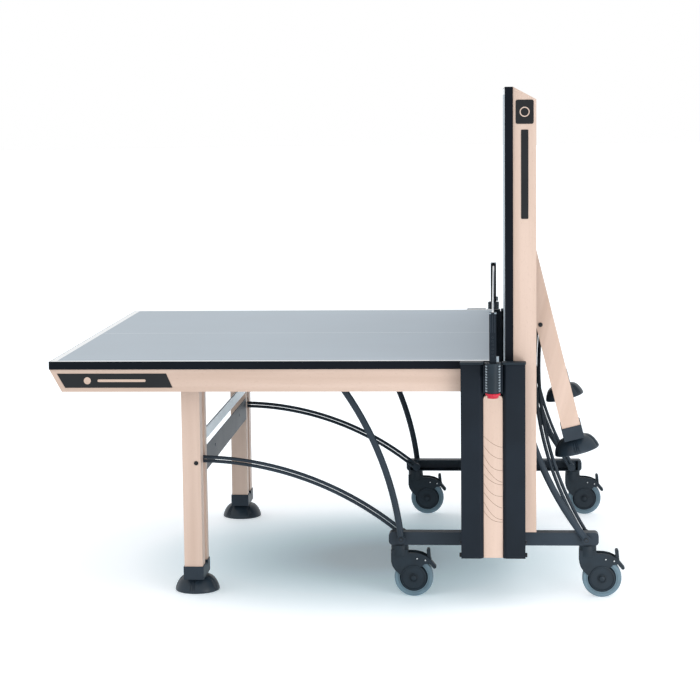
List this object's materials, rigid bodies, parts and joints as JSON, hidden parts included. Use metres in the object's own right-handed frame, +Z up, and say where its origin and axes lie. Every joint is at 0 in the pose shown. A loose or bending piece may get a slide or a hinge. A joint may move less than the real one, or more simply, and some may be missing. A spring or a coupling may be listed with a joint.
{
  "type": "table tennis table",
  "caption": "Competition table tennis table on a wheeled centre frame; one half down for play, the other folded upright, with net, wooden rails and legs.",
  "frame": {"origin": "on the floor, at the centre of the outline at rest; the net plane is at X = 0.4807 m", "axes": "+X along the table from the half that is down to the folded half, +Y across the table away from the near side, +Z up"},
  "size_m": [1.7786, 1.8768, 1.5865],
  "materials": {
    "table_top": "satin paint with white lines",
    "painted_steel": "satin powder coat",
    "beech": "clear satin varnish",
    "black_plastic": "moulded, lightly grained",
    "foot_rubber": "moulded",
    "wheel_rubber": "smooth grey tread",
    "bright_steel": "zinc plated",
    "black_steel": "black oxide",
    "red_plastic": "gloss",
    "net_cloth": "knotted mesh with a white tape",
    "tie_metal": "satin"
  },
  "bodies": {
    "frame": {"base_beams": "painted_steel", "base_cross_tubes": "painted_steel", "uprights_near": "painted_steel", "uprights_far": "painted_steel", "upright_caps": "black_plastic", "wood_infills": "beech", "frame_bolts": "black_steel", "net_brackets": "painted_steel", "net_barrels": "black_plastic"},
    "net_set": {"net_post_near": "painted_steel", "net_post_far": "painted_steel", "net": "net_cloth"},
    "net_ring_near": {"net_ring_near": "red_plastic"},
    "net_ring_far": {"net_ring_far": "red_plastic"},
    "caster_left_near": {"caster_housing_left_near": "black_plastic"},
    "wheel_left_near": {"wheel_left_near": "wheel_rubber"},
    "pedal_left_near": {"brake_pedal_left_near": "black_plastic"},
    "caster_left_far": {"caster_housing_left_far": "black_plastic"},
    "wheel_left_far": {"wheel_left_far": "wheel_rubber"},
    "pedal_left_far": {"brake_pedal_left_far": "black_plastic"},
    "guide_left": {"guide_carriage_left": "bright_steel"},
    "top_left": {"top_panel_left": "table_top", "edge_band_left": "painted_steel", "rail_left_near": "beech", "rail_left_far": "beech", "rail_inlays_left": "black_plastic", "top_cross_tubes_left": "painted_steel"},
    "arms_left": {"main_arms_left": "painted_steel"},
    "legs_left": {"leg_left_near": "beech", "leg_left_far": "beech", "leg_pins_left": "black_steel", "foot_brackets_left": "painted_steel", "leg_crossbar_left": "painted_steel", "leg_tie_bar_left": "tie_metal"},
    "links_left": {"leg_links_left": "painted_steel"},
    "foot_left_near": {"foot_left_near": "foot_rubber"},
    "foot_left_far": {"foot_left_far": "foot_rubber"},
    "caster_right_near": {"caster_housing_right_near": "black_plastic"},
    "wheel_right_near": {"wheel_right_near": "wheel_rubber"},
    "pedal_right_near": {"brake_pedal_right_near": "black_plastic"},
    "caster_right_far": {"caster_housing_right_far": "black_plastic"},
    "wheel_right_far": {"wheel_right_far": "wheel_rubber"},
    "pedal_right_far": {"brake_pedal_right_far": "black_plastic"},
    "guide_right": {"guide_carriage_right": "bright_steel"},
    "top_right": {"top_panel_right": "table_top", "edge_band_right": "painted_steel", "rail_right_near": "beech", "rail_right_far": "beech", "rail_inlays_right": "black_plastic", "top_cross_tubes_right": "painted_steel"},
    "arms_right": {"main_arms_right": "painted_steel"},
    "legs_right": {"leg_right_near": "beech", "leg_right_far": "beech", "leg_pins_right": "black_steel", "foot_brackets_right": "painted_steel", "leg_crossbar_right": "painted_steel", "leg_tie_bar_right": "tie_metal"},
    "links_right": {"leg_links_right": "painted_steel"},
    "foot_right_near": {"foot_right_near": "foot_rubber"},
    "foot_right_far": {"foot_right_far": "foot_rubber"}
  },
  "joints": [
    {"name": "net_height", "type": "slide", "parent": "frame", "child": "net_set", "axis": [0, 0, 1], "range_m": [0, 0.01]},
    {"name": "net_ring_turn_near", "type": "hinge", "parent": "frame", "child": "net_ring_near", "pos_m": [0.48072, -0.915, 0.675], "axis": [0, 0, 1], "continuous": true},
    {"name": "net_ring_turn_far", "type": "hinge", "parent": "frame", "child": "net_ring_far", "pos_m": [0.48072, 0.915, 0.675], "axis": [0, 0, 1], "continuous": true},
    {"name": "caster_swivel_left_near", "type": "hinge", "parent": "frame", "child": "caster_left_near", "pos_m": [0.18671, -0.641, 0.165], "axis": [0, 0, 1], "continuous": true},
    {"name": "wheel_spin_left_near", "type": "hinge", "parent": "caster_left_near", "child": "wheel_left_near", "pos_m": [0.23072, -0.641, 0.061], "axis": [0, 1, 0], "continuous": true},
    {"name": "brake_left_near", "type": "hinge", "parent": "caster_left_near", "child": "pedal_left_near", "pos_m": [0.27971, -0.641, 0.112], "axis": [0, -1, 0], "range_deg": [0, 12]},
    {"name": "caster_swivel_left_far", "type": "hinge", "parent": "frame", "child": "caster_left_far", "pos_m": [0.18671, 0.641, 0.165], "axis": [0, 0, 1], "continuous": true},
    {"name": "wheel_spin_left_far", "type": "hinge", "parent": "caster_left_far", "child": "wheel_left_far", "pos_m": [0.23072, 0.641, 0.061], "axis": [0, 1, 0], "continuous": true},
    {"name": "brake_left_far", "type": "hinge", "parent": "caster_left_far", "child": "pedal_left_far", "pos_m": [0.27971, 0.641, 0.112], "axis": [0, -1, 0], "range_deg": [0, 12]},
    {"name": "guide_slide_left", "type": "slide", "parent": "frame", "child": "guide_left", "axis": [0, 0, 1], "range_m": [-0.433, 0]},
    {"name": "fold_left", "type": "hinge", "parent": "guide_left", "child": "top_left", "pos_m": [0.40671, 0, 0.723], "axis": [0, 1, 0], "range_deg": [0, 90]},
    {"name": "arm_swing_left", "type": "hinge", "parent": "top_left", "child": "arms_left", "pos_m": [-0.02885, 0, 0.723], "axis": [0, 1, 0], "range_deg": [-50, 0]},
    {"name": "leg_fold_left", "type": "hinge", "parent": "top_left", "child": "legs_left", "pos_m": [-0.45128, 0, 0.723], "axis": [0, 1, 0], "range_deg": [-78, 0]},
    {"name": "link_swing_left", "type": "hinge", "parent": "legs_left", "child": "links_left", "pos_m": [-0.45128, 0, 0.42409], "axis": [0, 1, 0], "range_deg": [0, 70]},
    {"name": "foot_screw_left_near", "type": "slide", "parent": "legs_left", "child": "foot_left_near", "axis": [0, 0, -1], "range_m": [0, 0.012]},
    {"name": "foot_screw_left_far", "type": "slide", "parent": "legs_left", "child": "foot_left_far", "axis": [0, 0, -1], "range_m": [0, 0.012]},
    {"name": "caster_swivel_right_near", "type": "hinge", "parent": "frame", "child": "caster_right_near", "pos_m": [0.77472, -0.641, 0.165], "axis": [0, 0, 1], "continuous": true},
    {"name": "wheel_spin_right_near", "type": "hinge", "parent": "caster_right_near", "child": "wheel_right_near", "pos_m": [0.81871, -0.641, 0.061], "axis": [0, 1, 0], "continuous": true},
    {"name": "brake_right_near", "type": "hinge", "parent": "caster_right_near", "child": "pedal_right_near", "pos_m": [0.86772, -0.641, 0.112], "axis": [0, -1, 0], "range_deg": [0, 12]},
    {"name": "caster_swivel_right_far", "type": "hinge", "parent": "frame", "child": "caster_right_far", "pos_m": [0.77472, 0.641, 0.165], "axis": [0, 0, 1], "continuous": true},
    {"name": "wheel_spin_right_far", "type": "hinge", "parent": "caster_right_far", "child": "wheel_right_far", "pos_m": [0.81871, 0.641, 0.061], "axis": [0, 1, 0], "continuous": true},
    {"name": "brake_right_far", "type": "hinge", "parent": "caster_right_far", "child": "pedal_right_far", "pos_m": [0.86772, 0.641, 0.112], "axis": [0, -1, 0], "range_deg": [0, 12]},
    {"name": "guide_slide_right", "type": "slide", "parent": "frame", "child": "guide_right", "axis": [0, 0, 1], "range_m": [0, 0.433]},
    {"name": "fold_right", "type": "hinge", "parent": "guide_right", "child": "top_right", "pos_m": [0.55471, 0, 0.2905], "axis": [0, 1, 0], "range_deg": [0, 90]},
    {"name": "arm_swing_right", "type": "hinge", "parent": "top_right", "child": "arms_right", "pos_m": [0.55471, 0, 0.72606], "axis": [0, 1, 0], "range_deg": [-50, 0]},
    {"name": "leg_fold_right", "type": "hinge", "parent": "top_right", "child": "legs_right", "pos_m": [0.55471, 0, 1.1485], "axis": [0, 1, 0], "range_deg": [-78, 0]},
    {"name": "link_swing_right", "type": "hinge", "parent": "legs_right", "child": "links_right", "pos_m": [0.62703, 0, 0.85847], "axis": [0, 1, 0], "range_deg": [0, 70]},
    {"name": "foot_screw_right_near", "type": "slide", "parent": "legs_right", "child": "foot_right_near", "axis": [0.2419, 0, -0.9703], "range_m": [0, 0.012]},
    {"name": "foot_screw_right_far", "type": "slide", "parent": "legs_right", "child": "foot_right_far", "axis": [0.2419, 0, -0.9703], "range_m": [0, 0.012]}
  ],
  "couplings": [
    {"joint": "guide_slide_left", "follows": "fold_left", "m_per_rad": -0.27534},
    {"joint": "arm_swing_left", "follows": "fold_left", "ratio": -0.50988},
    {"joint": "leg_fold_left", "follows": "fold_left", "ratio": -0.84444},
    {"joint": "link_swing_left", "follows": "fold_left", "ratio": 0.75226},
    {"joint": "guide_slide_right", "follows": "fold_right", "m_per_rad": 0.27534},
    {"joint": "arm_swing_right", "follows": "fold_right", "ratio": -0.50988},
    {"joint": "leg_fold_right", "follows": "fold_right", "ratio": -0.84444},
    {"joint": "link_swing_right", "follows": "fold_right", "ratio": 0.75226}
  ]
}
